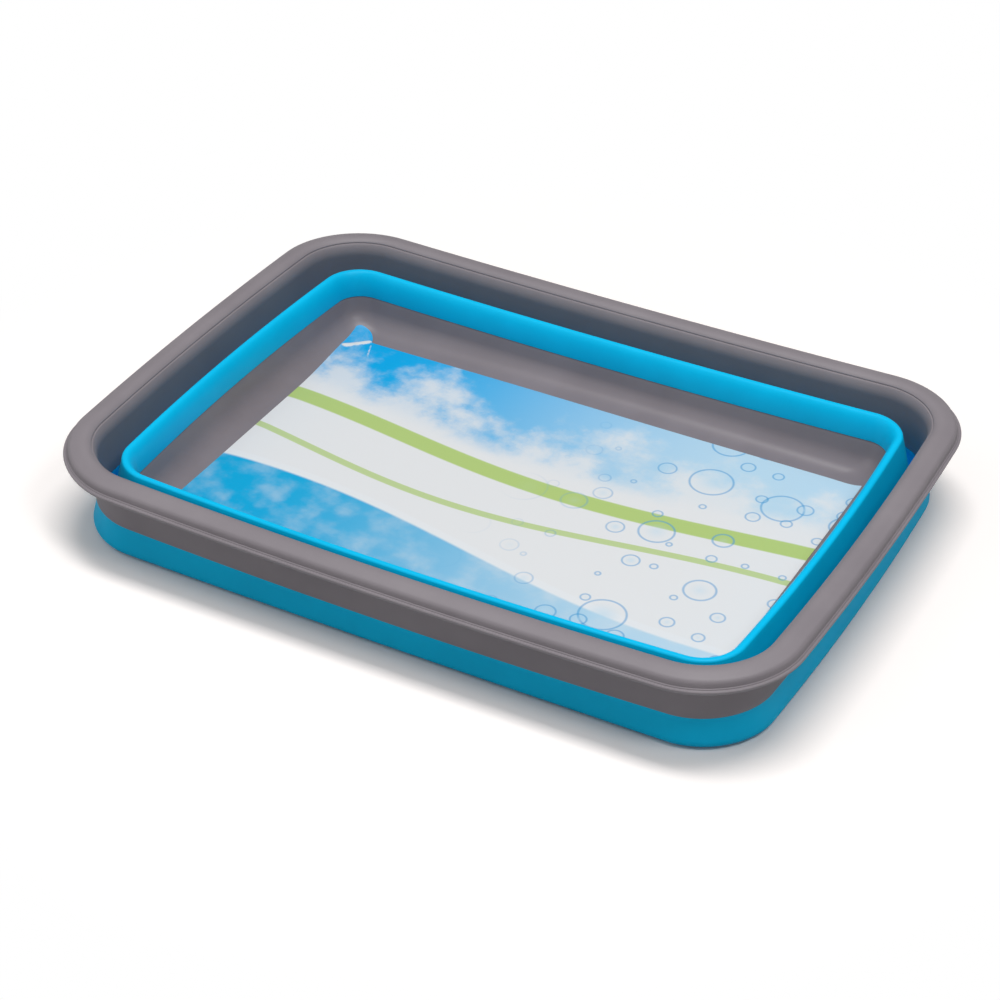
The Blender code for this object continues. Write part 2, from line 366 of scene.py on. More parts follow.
# %% [markdown]
# ## Grey polypropylene and blue rubber
#
# The rim and the tray are one warm grey polypropylene in two finishes: the rim
# has a satin, grained skin for the hands, and the tray comes from a polished
# mould, so that it wipes clean. The wall is a thermoplastic rubber in bright
# cyan blue with a soft highlight. All three are one Principled shader: the
# mottle mask moves their colour and their roughness by a few per cent, as on a
# real moulding, and the pebbles only bend the light.

# %% Moulded materials
# Where the mottle is dull and bright, how far it moves the roughness, and how deep
# the pebbles are
MOTTLE_ENDS, MOULDED_SPREAD, PEBBLE_DEPTH = (0.3, 0.7), 0.1, 0.12 * MM


def new_material(name):
    """A node material and its Principled shader."""
    material = bpy.data.materials.new(name)
    material.use_nodes = True
    return material, material.node_tree.nodes["Principled BSDF"]


def add_grain(tree, shader, pebbles, bump, depth, smoothest, spread):
    """The pebbles in the shader's Normal, and the mottle in its Roughness.

    Roughness is smoothest plus spread times the mottle. The grain node is returned.
    """
    grain = tree.nodes.new("ShaderNodeGroup")
    grain.node_tree = grain_group
    grain.inputs["Pebbles per metre"].default_value = pebbles
    bumps = tree.nodes.new("ShaderNodeBump")
    bumps.inputs["Strength"].default_value = bump
    bumps.inputs["Distance"].default_value = depth
    link(tree, grain, "Height", bumps, "Height")
    link(tree, bumps, "Normal", shader, "Normal")
    gloss = math_node(tree, "MULTIPLY", grain.outputs["Mottle"], spread)
    gloss = math_node(tree, "ADD", gloss, smoothest)
    tree.links.new(gloss, shader.inputs["Roughness"])
    return grain


def moulded_material(name, dull, bright, roughness, pebbles, bump, specular):
    """A moulded plastic: two near colours mixed by the mottle, and the grain."""
    material, shader = new_material(name)
    tree = material.node_tree
    smoothest = roughness - MOULDED_SPREAD / 2
    grain = add_grain(
        tree, shader, pebbles, bump, PEBBLE_DEPTH, smoothest, MOULDED_SPREAD
    )
    colour = tree.nodes.new("ShaderNodeValToRGB")
    ends = colour.color_ramp.elements
    for end, position, shade in zip(ends, MOTTLE_ENDS, (dull, bright)):
        end.position, end.color = position, (*shade, 1.0)
    link(tree, grain, "Mottle", colour, "Fac")
    link(tree, colour, "Color", shader, "Base Color")
    shader.inputs["Specular IOR Level"].default_value = specular
    return material


rim_grey = moulded_material(
    "grey_rim",
    dull=(0.252, 0.226, 0.248),
    bright=(0.284, 0.256, 0.278),
    roughness=0.5,
    pebbles=1500.0,
    bump=0.35,
    specular=0.4,
)
tray_grey = moulded_material(
    "grey_tray",
    dull=(0.217, 0.192, 0.211),
    bright=(0.246, 0.219, 0.24),
    roughness=0.37,
    pebbles=1500.0,
    bump=0.12,
    specular=0.4,
)
blue = moulded_material(
    "blue_rubber",
    dull=(0.0, 0.54, 0.91),
    bright=(0.0, 0.59, 0.98),
    roughness=0.42,
    pebbles=1200.0,
    bump=0.25,
    specular=0.12,
)
print("materials", rim_grey.name, tray_grey.name, blue.name)

# %% [markdown]
# ## The rim
#
# The rim is held by its flange, so the flange is a broad soft roll. Its outer
# edge steps down and flares out into a narrow lip with a double bead, its inner
# edge rounds over into a deep skirt, and a hair-thin groove runs where that
# round begins. A boolean or a separate strip could make the beads and the
# groove, but the profile can carry them itself: the outer face is raised or
# lowered by a few bell curves along its length.

# %% Rim profile and ring
LIP_END, LIP_ROOT = (2.35 * MM, 41.65 * MM), (4.555 * MM, 42.6 * MM)
SHOULDER, CROWN = (5.16 * MM, 45.59 * MM), (10.0 * MM, 47.1 * MM)
LIP_RADII, CROWN_RADIUS = (1.3 * MM, 0.5 * MM), 12.0 * MM
BROW_START, BROW_REACH, BROW_DROP = (11.5 * MM, 47.15 * MM), 5.0 * MM, 7.1 * MM
SKIRT_END, FINE_REACH = (16.0 * MM, 17.7 * MM), 1.3 * MM
GROOVE_INSET, GROOVE_DEPTH, GROOVE_WIDTH = 14.6 * MM, 0.45 * MM, 0.26 * MM
# The two beads and the hollow between them: distance in from the lip's end,
# height and width, all in millimetres
LIP_RELIEF = ((0.3, 0.15, 0.28), (1.6, 0.17, 0.28), (0.95, -0.24, 0.22))


def bell(distance, middle, width):
    """exp of minus the square of the distance from the middle in widths."""
    return np.exp(-(((distance - middle) / width) ** 2))


def quarter_ellipse(start, reach, drop, steps=40):
    """From a level start round to straight down.

    The sine of the turn times reach goes in, and its cosine times drop is the height
    over the end.
    """
    turn = np.linspace(0.0, math.pi / 2, steps + 1)[1:]
    inset = start[0] + reach * np.sin(turn)
    height = start[1] - drop + drop * np.cos(turn)
    return np.column_stack((inset, height))


def rim_line():
    """Middle line of the rim: in along the lip, up, over the flange, and down."""
    corners = (LIP_END, LIP_ROOT, SHOULDER, CROWN, BROW_START)
    top = middle_line(corners, (*LIP_RADII, CROWN_RADIUS))
    brow = quarter_ellipse(BROW_START, BROW_REACH, BROW_DROP)
    return np.concatenate((top, brow, [SKIRT_END]))


def rim_profile():
    """The rim's outline, with two lip beads raised and the parting groove sunk.

    Steps are close over the whole lip and on both sides of the groove.
    """
    path = rim_line()
    along = distance_along(path)
    groove = float(np.interp(GROOVE_INSET, path[:, 0], along))
    path = spaced(path, spacing=0.9 * MM, fine=(FINE_REACH, groove), reach=FINE_REACH)
    along = distance_along(path)
    raised = np.zeros_like(along)
    for middle, height, width in LIP_RELIEF:
        raised = raised + height * MM * bell(along, middle * MM, width * MM)
    raised = raised - GROOVE_DEPTH * bell(along, groove, GROOVE_WIDTH)
    return sheet_outline(path, RIM_WALL, raised, nose=0.35 * MM)


rim = ring_object("rim", ring_points(rim_profile(), GROUND_GAP, RIM_FOOT, outline))
rim.data.materials.append(rim_grey)
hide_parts("rim_frame")
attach(rim, "rim")

# %% [markdown]
# ## The soft wall, outer run
#
# The rubber is bonded to the foot of the skirt, stands out a little as it
# goes down, and turns under in a fold just clear of the ground. It moves with
# the rim, so it is a piece of its own, cut at the lowest point of the fold,
# where the next run takes over.

# %% Outer run
LOW_FOLD_OUTER, LOW_FOLD_SPLIT, LOW_FOLD_INNER = 12.8 * MM, 17.8 * MM, 20.8 * MM
LOW_FOLD_MIDDLE, LOW_FOLD_RADIUS = GROUND_GAP + SOFT_WALL / 2, 3.0 * MM
CUFF_INSET, CUFF_LENGTH, CUFF_RADIUS = 0.2 * MM, 2.0 * MM, 4.0 * MM


def outer_run_profile():
    """From a cuff in line with the skirt, out and down to the low fold."""
    skirt = rim_line()[-2:]
    onward = (skirt[1] - skirt[0]) / np.linalg.norm(skirt[1] - skirt[0])
    behind = np.array((CUFF_INSET, 0.0))
    corners = (
        skirt[1] + onward * GAP * 2 + behind,
        skirt[1] + onward * (GAP + CUFF_LENGTH) + behind,
        (LOW_FOLD_OUTER, LOW_FOLD_MIDDLE),
        (LOW_FOLD_SPLIT - GAP / 2, LOW_FOLD_MIDDLE),
    )
    path = middle_line(corners, (CUFF_RADIUS, LOW_FOLD_RADIUS))
    return sheet_outline(spaced(path, spacing=0.7 * MM), SOFT_WALL, nose=0.1 * MM)


outer_run = ring_object(
    "soft_wall_outer", ring_points(outer_run_profile(), GROUND_GAP, RIM_FOOT, outline)
)
outer_run.data.materials.append(blue)
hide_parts("upper_wall")
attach(outer_run, "rim")

# %% [markdown]
# ## The soft wall, middle run
#
# When the rim is lifted, this run turns inside out: its foot climbs with the rim
# while its top stays at the ridge. A rigid piece can't show that. This run is
# built in place and fixed to neither body.

# %% Middle run
RIDGE_INSET, RIDGE_WIDTH = 30.1 * MM, 3.5 * MM
RIDGE_MIDDLE = RIDGE_HEIGHT - SOFT_WALL / 2
CREST_SPLIT, CREST_SEAM, BLEND_MARGIN = 36.3 * MM, 0.04 * MM, 0.1 * MM
RIDGE_OUTER = RIDGE_INSET - (RIDGE_WIDTH - SOFT_WALL) / 2


def middle_run_line():
    """Middle line from the low fold up to just under the crest of the ridge."""
    start = np.array((LOW_FOLD_INNER, LOW_FOLD_MIDDLE))
    end = np.array((RIDGE_OUTER, RIDGE_MIDDLE))
    split = start + (end - start) * (CREST_SPLIT - start[1]) / (end[1] - start[1])
    corners = ((LOW_FOLD_SPLIT + GAP / 2, LOW_FOLD_MIDDLE), start, split)
    return middle_line(corners, (LOW_FOLD_RADIUS,))


middle_run_path = spaced(middle_run_line(), spacing=0.8 * MM)
middle_run_profile = sheet_outline(middle_run_path, SOFT_WALL, nose=CREST_SEAM)
middle_run = ring_object(
    "soft_wall_middle",
    ring_points(middle_run_profile, GROUND_GAP, RIDGE_HEIGHT, outline),
)
middle_run.data.materials.append(blue)
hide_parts("fold_wall")
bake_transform(middle_run)

# %% [markdown]
# ## The soft wall, inner run and ridge
#
# The brightest line of the folded basin is the ridge where the rubber turns
# over. Its outer edge is tight, and its inner side is a broad round that drops
# steeply to the edge of the tray. This piece takes the whole crest, so that no
# seam shows on it, and stays with the tray.

# %% Inner run
CREST_RADIUS, CREST_REACH, CREST_STEP = 0.7 * MM, 1.6 * MM, 0.2 * MM
WALL_FOOT = (TRAY_EDGE_INSET - SOFT_WALL / 2, TRAY_TOP + GAP)


def inner_run_profile():
    """Over the crest from outside, and down a quarter ellipse to the tray's edge."""
    crest = (RIDGE_INSET, RIDGE_MIDDLE)
    outer_foot = middle_run_line()[-1] + np.array((0.0, CREST_SEAM))
    corners = (outer_foot, (RIDGE_OUTER, RIDGE_MIDDLE), crest)
    side = quarter_ellipse(crest, WALL_FOOT[0] - crest[0], crest[1] - WALL_FOOT[1])
    path = np.concatenate((middle_line(corners, (CREST_RADIUS,)), side))
    path = spaced(
        path, 0.6 * MM, fine=(CREST_REACH,), reach=CREST_REACH, fine_spacing=CREST_STEP
    )
    return sheet_outline(path, SOFT_WALL, nose=0.2 * MM)


inner_run = ring_object(
    "soft_wall_inner", ring_points(inner_run_profile(), FLOOR_TOP, TRAY_TOP, outline)
)
inner_run.data.materials.append(blue)
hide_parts("lower_wall")
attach(inner_run, "base")

# %% [markdown]
# ## The tray
#
# The tray is what the basin stands on: a flat floor with a cove all round, so
# that nothing sticks in a corner, and an apron under it that is cut back
# between its feet. The cove and the apron are one profile. The cut-outs aren't
# made with booleans: the lowest rows of the profile are lifted wherever a
# mask along the side says so, which also gives the cut-outs sloping ends.

# %% Tray
COVE_FOOT_INSET, COVE_RADIUS, APRON_FOOT_INSET = 37.5 * MM, 14.0 * MM, 35.4 * MM
# The edge's three points: their share of its width, and their rise in mm
EDGE_ACROSS, EDGE_RISE, EDGE_DROP = (0.12, 0.5, 0.88), (0.2, 0.25, 0.2), 0.3 * MM
SOLE_ROUND, APRON_ROWS, INNER_ROWS, APRON_CLEAR = 0.4 * MM, 26, 9, 0.2 * MM
NOTCH_HEIGHT, NOTCH_REACH, NOTCH_SLOPE = 5.0 * MM, 10.0 * MM, 3.0 * MM
SIDE_NOTCH, END_NOTCH = (35.0 * MM, 114.6 * MM), 65.1 * MM
SIDE_SLOPES, END_SLOPES = (37.0 * MM, 112.0 * MM), (62.0 * MM,)
SLOPE_REACH, SLOPE_STOPS = 5.0 * MM, 12
HALF_LONG_SIDE = LENGTH / 2 - SHORT_SIDE_BOW - CORNER_RADIUS
HALF_SHORT_SIDE = WIDTH / 2 - LONG_SIDE_BOW - CORNER_RADIUS


def tray_line():
    """Middle line of the tray's side: down, round the cove and on to the floor."""
    floor = FLOOR_TOP - TRAY_WALL / 2
    corners = (
        (TRAY_EDGE_INSET - TRAY_WALL / 2, TRAY_TOP - 1.5 * GAP),
        (COVE_FOOT_INSET, floor),
        (COVE_FOOT_INSET + 2 * COVE_RADIUS, floor),
    )
    return spaced(middle_line(corners, (COVE_RADIUS,)), spacing=0.9 * MM)


def tray_profile():
    """Up the cove, over the edge, down the apron, and in again under the floor.

    The edge lies between the wet face and the face under it, raised a little. The
    sole of the apron is flat, with its two corners cut off.
    """
    path = tray_line()
    left = sideways(path)
    wet, under = path + left * TRAY_WALL / 2, path - left * TRAY_WALL / 2
    edge = wet[0] + (under[0] - wet[0]) * np.array(EDGE_ACROSS)[:, None]
    edge[:, 1] += np.array(EDGE_RISE) * MM
    wet[0, 1] -= EDGE_DROP
    top = under[0] - np.array((0.0, EDGE_DROP))
    foot = np.array((APRON_FOOT_INSET, SOLE_ROUND))
    outer = top + (foot - top) * np.linspace(0.0, 1.0, APRON_ROWS)[:, None]
    foot_inner = APRON_FOOT_INSET + TRAY_WALL
    sole = ((APRON_FOOT_INSET + SOLE_ROUND, 0.0), (foot_inner - SOLE_ROUND, 0.0))
    rise = np.interp(foot_inner, under[:, 0], under[:, 1])
    heights = np.linspace(SOLE_ROUND, rise, INNER_ROWS)
    inner = np.column_stack((np.full(INNER_ROWS, foot_inner), heights))
    beyond = under[under[:, 0] > foot_inner + APRON_CLEAR]
    return np.concatenate((wet[::-1], edge, outer, sole, inner, beyond))


def notch_mask(x, y):
    """1 in a cut-out, 0 at a foot, and three t squared minus two t cubed between."""
    def ramp(value, edge):
        """A half at the edge, and from 0 to 1 over the slope's width."""
        return np.clip((value - edge) / NOTCH_SLOPE + 0.5, 0.0, 1.0)

    x, y = np.abs(x), np.abs(y)
    near, far = SIDE_NOTCH
    on_side = ramp(x, near + NOTCH_SLOPE) * ramp(-x, -far + NOTCH_SLOPE)
    on_side = on_side * (x < HALF_LONG_SIDE) * (y > HALF_SHORT_SIDE)
    on_end = ramp(-y, -END_NOTCH + NOTCH_SLOPE) * (x > HALF_LONG_SIDE)
    mask = np.maximum(on_side, on_end)
    return mask * mask * (3 - 2 * mask)


def side_stops(half_length, slopes, count):
    """Even stops along a side, with close ones where a cut-out begins or ends."""
    stops = [np.linspace(0.0, 1.0, count)[1:-1]]
    for slope in slopes:
        near = np.linspace(slope - SLOPE_REACH, slope + SLOPE_REACH, SLOPE_STOPS)
        for sign in (1, -1):
            stops.append(0.5 + sign * near / (2 * half_length))
    return np.unique(np.round(np.concatenate(stops), 5))


tray_numbers = outline_numbers(
    long_stops=side_stops(HALF_LONG_SIDE, SIDE_SLOPES, count=33),
    short_stops=side_stops(HALF_SHORT_SIDE, END_SLOPES, count=23),
)
profile = tray_profile()
tray_rings = ring_points(profile, FLOOR_TOP, TRAY_TOP - GAP, tray_numbers)
height = tray_rings[..., 2]
outside_wet_face = np.arange(len(profile))[:, None] > len(tray_line())
in_apron = profile[:, :1] < APRON_FOOT_INSET + TRAY_WALL + APRON_CLEAR / 2
apron = (height < NOTCH_REACH) & outside_wet_face & in_apron
lift = notch_mask(tray_rings[..., 0], tray_rings[..., 1])
lift = lift * NOTCH_HEIGHT * (1 - height / NOTCH_REACH)
tray_rings[..., 2] += np.where(apron, lift, 0.0)
tray = ring_object("tray", tray_rings, rows_close=False)
tray.data.materials.append(tray_grey)
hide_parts("base_tray")
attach(tray, "base")

# %% [markdown]
# ## The paper sheet
#
# The sheet in the tray is coated paper. It lies flat on the floor except at
# one corner, where a rounded ear was left on: it climbs the cove and is creased
# where it was pressed in. A cloth simulation would take long for so small a
# lift. Here the sheet is a grid of two parameters whose height is the tray's own
# height under each point. That needs the rings turned round: from a place in
# the tray to the inset of the ring that passes through it.

# %% Height of the tray under a point
COVE_RING_INSET = 41.0 * MM


def inset_at(x, y):
    """The inset of the ring that passes through a point of the tray.

    One side alone gives its distance from the point. Where both sides are near, the
    point is on an arc of the small corner radius, and the inset solves its circle.
    """
    half_x = LENGTH / 2 - SHORT_SIDE_BOW
    half_y = WIDTH / 2 - LONG_SIDE_BOW
    across = np.clip(x / (half_x - COVE_RING_INSET), -1.0, 1.0)
    along = np.clip(y / (half_y - COVE_RING_INSET), -1.0, 1.0)
    from_end = half_x + SHORT_SIDE_BOW * (1 - along**2) - np.abs(x)
    from_side = half_y + LONG_SIDE_BOW * (1 - across**2) - np.abs(y)
    radius = INNER_CORNER_RADIUS
    apart = np.clip(from_end - from_side, -radius, radius)
    middle = (from_end + from_side) / 2 - radius + np.sqrt(2 * radius**2 - apart**2) / 2
    return np.where(np.abs(apart) < radius, middle, np.minimum(from_end, from_side))


def tray_height(x, y):
    """Height of the tray's wet side: its profile read at the inset."""
    path = tray_line()
    wet = path + sideways(path) * TRAY_WALL / 2
    return np.interp(inset_at(x, y), wet[:, 0], wet[:, 1])


ear_x, ear_y = -147.8 * MM, 94.1 * MM
print("tray under the ear", round(float(tray_height(ear_x, ear_y)) / MM, 2), "mm")

# %% [markdown]
# ## The sheet's edges and creases
#
# The ear's edge is drawn as an amount that is added to the far edge: 1 at its
# left end, with a quarter circle there, and a power curve down to 0 at its
# right end. A crease is a low ridge: a bell curve of the distance from a line,
# which fades out at the line's ends. Its value is kept as an attribute too, so
# that the print is painted white along it: cracked ink, and a painted highlight
# on the fold.

# %% Paper sheet
SHEET_LEFT, SHEET_LEFT_AT_EAR, SHEET_RIGHT = -143.5 * MM, -145.8 * MM, 145.0 * MM
SHEET_FRONT, SHEET_BACK = -84.0 * MM, 87.4 * MM
EAR_START, EAR_WIDTH, EAR_REACH, EAR_ROUND = -142.8 * MM, 10.1 * MM, 8.6 * MM, 3.5 * MM
# The ear's two powers, the v it grows from, and its round end's head start
EAR_FULLNESS, EAR_END_POWER, EAR_FROM, EAR_LEAD = 2.6, 0.8, 0.9, 0.1
# The y where the left edge moves out, and the inset where the wave sets in
LEFT_TURN, WAVE_FROM = (30.0 * MM, 88.0 * MM), (46.0 * MM, 56.0 * MM)
WAVE, WAVE_ALONG, WAVE_ACROSS = 0.2 * MM, 31.0 * MM, 24.0 * MM
PAPER, PAPER_CLEARANCE = 0.25 * MM, 0.05 * MM
# Each crease: its two ends, its height and its width, all in millimetres
CREASES = (
    ((-144.8, 76.8), (-132.8, 88.3), 0.6, 1.7),
    ((-131.8, 85.5), (-127.0, 73.0), 0.3, 0.8),
)
DEEPEST_CREASE, CREASE_FADE = 0.6, (-0.1, 0.15)
# Even stops over the whole sheet, and close ones from one place to another
STOPS_ALONG, CLOSE_ALONG = (0, 1, 97), (0, 0.08, 78)
STOPS_ACROSS, CLOSE_ACROSS = (0, 1, 57), (0.88, 1, 60)


def smooth_step(value, start, end):
    """0 before start, 1 after end, and three t squared minus two t cubed between."""
    t = np.clip((value - start) / (end - start), 0.0, 1.0)
    return t * t * (3 - 2 * t)


def crease_bell(x, y, start, end, width):
    """A bell of the distance from a line, in widths, faded at the line's ends."""
    start, end = np.array(start) * MM, np.array(end) * MM
    length = np.linalg.norm(end - start)
    step_x, step_y = (end - start) / length
    along = ((x - start[0]) * step_x + (y - start[1]) * step_y) / length
    aside = (x - start[0]) * step_y - (y - start[1]) * step_x
    fade = smooth_step(along, *CREASE_FADE) * smooth_step(1 - along, *CREASE_FADE)
    return bell(aside, 0.0, width) * fade


def sheet_surface(u, v):
    """The sheet's upper side and its crease value, for u along and v across, 0 to 1.

    The left edge moves out towards the ear. The far edge reaches further by the ear's
    own curve. Height is the higher of the floor with a slow wave and the tray, plus
    the creases.
    """
    y = SHEET_FRONT + (SHEET_BACK - SHEET_FRONT) * v
    left = SHEET_LEFT + (SHEET_LEFT_AT_EAR - SHEET_LEFT) * smooth_step(y, *LEFT_TURN)
    x = left + (SHEET_RIGHT - left) * u
    fall = np.clip((x - EAR_START) / EAR_WIDTH, 0.0, 1.0)
    round_end = np.clip((EAR_START - x) / EAR_ROUND + EAR_LEAD, 0.0, 1.0)
    ear = EAR_REACH * (1 - fall**EAR_FULLNESS) ** EAR_END_POWER
    ear = ear - EAR_ROUND * (1 - np.sqrt(1 - round_end**2))
    y = y + np.maximum(ear, 0.0) * smooth_step(v, EAR_FROM, 1.0)
    wave = WAVE * (np.sin(x / WAVE_ALONG) * np.cos(y / WAVE_ACROSS) + 1)
    floor = FLOOR_TOP + wave * smooth_step(inset_at(x, y), *WAVE_FROM)
    height = np.maximum(floor, tray_height(x, y)) + PAPER + PAPER_CLEARANCE
    crease = np.zeros_like(x)
    for start, end, rise, width in CREASES:
        ridge = crease_bell(x, y, start, end, width * MM)
        height = height + rise * MM * ridge
        crease = np.maximum(crease, ridge * rise / DEEPEST_CREASE)
    return np.stack((x, y, height), axis=-1), crease


def stops_of(even, close):
    """Even stops and close ones together, each given as its start, end and count."""
    stops = np.concatenate((np.linspace(*even), np.linspace(*close)))
    return np.unique(np.round(stops, 5))


def make_sheet():
    """The upper side, and the same grid a paper's thickness lower, joined all round."""
    grid_u, grid_v = np.meshgrid(
        stops_of(STOPS_ALONG, CLOSE_ALONG),
        stops_of(STOPS_ACROSS, CLOSE_ACROSS),
        indexing="ij",
    )
    top, crease = sheet_surface(grid_u, grid_v)
    rows, columns = top.shape[:2]
    below = rows * columns
    points = np.concatenate((top.reshape(-1, 3), top.reshape(-1, 3) - (0, 0, PAPER)))
    index = np.arange(below).reshape(rows, columns)
    square = (index[:-1, :-1], index[1:, :-1], index[1:, 1:], index[:-1, 1:])
    upper = np.stack(square, axis=-1).reshape(-1, 4)
    lower = upper[:, ::-1] + below
    here = np.concatenate(
        (index[:, 0], index[-1, 1:], index[::-1, -1][1:], index[0, ::-1][1:-1])
    )
    after = np.roll(here, -1)
    edge = np.stack((here, here + below, after + below, after), axis=-1)
    faces = np.concatenate((upper, lower, edge)).tolist()
    piece = mesh_object("paper_sheet", points, faces)
    flat = np.concatenate((np.stack((grid_u, grid_v), axis=-1).reshape(-1, 2),) * 2)
    corners = np.zeros(len(piece.data.loops), dtype=np.int32)
    piece.data.loops.foreach_get("vertex_index", corners)
    layer = piece.data.uv_layers.new(name="sheet")
    layer.data.foreach_set("uv", flat[corners].astype(np.float32).ravel())
    # The crease value, which paints the print white along the creases: cracked ink and
    # a painted highlight
    crease_layer = piece.data.attributes.new("crease", "FLOAT", "POINT")
    crease_layer.data.foreach_set("value", np.tile(crease.ravel(), 2).astype(np.float32))
    print("sheet", len(piece.data.polygons), "faces")
    return piece


sheet = make_sheet()

# %% [markdown]
# ## What is printed on the sheet
#
# The print is a generic one for a washing-up basin: sky with soft clouds along
# the far edge, ribbons of lime green, a pool of blue water with foam, and soap
# bubbles. A picture file would be quick, but it can't be scaled or changed.
# Each shape here is a mask: a wave is the sheet's v minus a sine of u, put
# through a steep ramp, and a bubble is the distance to a scattered point.

# %% Shapes for a print
# The Mix node has sockets for every kind of data, so its colour ones go by number
MIX_FACTOR, MIX_BELOW, MIX_ABOVE, MIX_RESULT = 0, 6, 7, 2
SMALLEST_BUBBLE, BUBBLES_DROPPED = 0.25, 0.3


def mix_colour(tree, mask, below, above):
    """The colour above laid over the colour below wherever the mask is 1."""
    node = tree.nodes.new("ShaderNodeMix")
    node.data_type = "RGBA"
    for number, value in ((MIX_FACTOR, mask), (MIX_BELOW, below), (MIX_ABOVE, above)):
        if isinstance(value, tuple):
            node.inputs[number].default_value = (*value, 1.0)
        else:
            tree.links.new(value, node.inputs[number])
    return node.outputs[MIX_RESULT]


def ramp_between(tree, value, start, end):
    """0 where the value is at start, 1 where it is at end, smooth between."""
    node = tree.nodes.new("ShaderNodeMapRange")
    node.interpolation_type = "SMOOTHSTEP"
    node.inputs["From Min"].default_value = start
    node.inputs["From Max"].default_value = end
    tree.links.new(value, node.inputs["Value"])
    return node.outputs["Result"]


def wave_height(tree, along, across, level, size, turns, start):
    """How far a point lies above a wave: across, less level plus size times a sine."""
    angle = math_node(tree, "MULTIPLY_ADD", along, turns * 2 * math.pi)
    angle.node.inputs[2].default_value = start
    sine = math_node(tree, "SINE", angle)
    wave = math_node(tree, "MULTIPLY_ADD", sine, size)
    wave.node.inputs[2].default_value = level
    return math_node(tree, "SUBTRACT", across, wave)


def noise_of(tree, place, scale, detail, roughness=0.5):
    """A noise value on a place socket."""
    node = tree.nodes.new("ShaderNodeTexNoise")
    node.inputs["Scale"].default_value = scale
    node.inputs["Detail"].default_value = detail
    node.inputs["Roughness"].default_value = roughness
    tree.links.new(place, node.inputs["Vector"])
    return node.outputs["Fac"]


def bubbles_on(tree, place, scale, radius, width):
    """Rings and inner tints of bubbles: masks from the distance to scattered points.

    Each point's random colour gives its bubble's size by red and drops some by green.
    """
    node = tree.nodes.new("ShaderNodeTexVoronoi")
    node.voronoi_dimensions = "2D"
    node.inputs["Scale"].default_value = scale
    node.inputs["Randomness"].default_value = 0.6
    tree.links.new(place, node.inputs["Vector"])
    chance = tree.nodes.new("ShaderNodeSeparateColor")
    link(tree, node, "Color", chance, "Color")
    size = math_node(
        tree, "MULTIPLY_ADD", chance.outputs["Red"], radius * (1 - SMALLEST_BUBBLE)
    )
    size.node.inputs[2].default_value = radius * SMALLEST_BUBBLE
    beyond = math_node(tree, "SUBTRACT", node.outputs["Distance"], size)
    kept = math_node(tree, "GREATER_THAN", chance.outputs["Green"], BUBBLES_DROPPED)
    ring = ramp_between(tree, math_node(tree, "ABSOLUTE", beyond), width, width * 0.2)
    fill = ramp_between(tree, beyond, 0.0, -radius)
    return [math_node(tree, "MULTIPLY", mask, kept) for mask in (ring, fill)]


# %% [markdown]
# ## The print, laid down in order
#
# A paint program would stack layers, and a chain of Mix nodes does the same:
# the sky with its clouds, the ribbons, the water with its foam, the bubbles, and
# last the white along the creases, which is cracked ink with a painted highlight.

# %% Print
WHITE, PALE, FOAM = (0.79, 0.8, 0.81), (0.5, 0.7, 0.84), (0.8, 0.82, 0.84)
SKY, WATER, DEEP = (0.0, 0.4, 0.8), (0.0, 0.4, 0.72), (0.0, 0.3, 0.64)
LIME = (0.4, 0.58, 0.1)
# Each wave: its level on the sheet, its size, its turns and the angle it starts at
SKYLINE, SHORE = (0.7, 0.05, 0.8, 2.2), (0.2, 0.09, 0.62, 1.2)
# Each ribbon: its wave, half its width and how strong its colour is
RIBBONS = (((0.6, 0.05, 0.8, 1.9), 0.035, 0.85), ((0.42, 0.06, 0.8, 2.6), 0.014, 0.7))
# Each size of bubble: how many fit across the sheet, its largest radius, its line
BUBBLES = ((4.2, 0.3, 0.022), (9.0, 0.26, 0.04))
CLOUD_STRENGTH, RIPPLE_STRENGTH = 0.85, 0.35
BUBBLE_STRENGTH, FIBRE_STRENGTH = 0.55, 0.8
SHEET_PROPORTION = 1.7


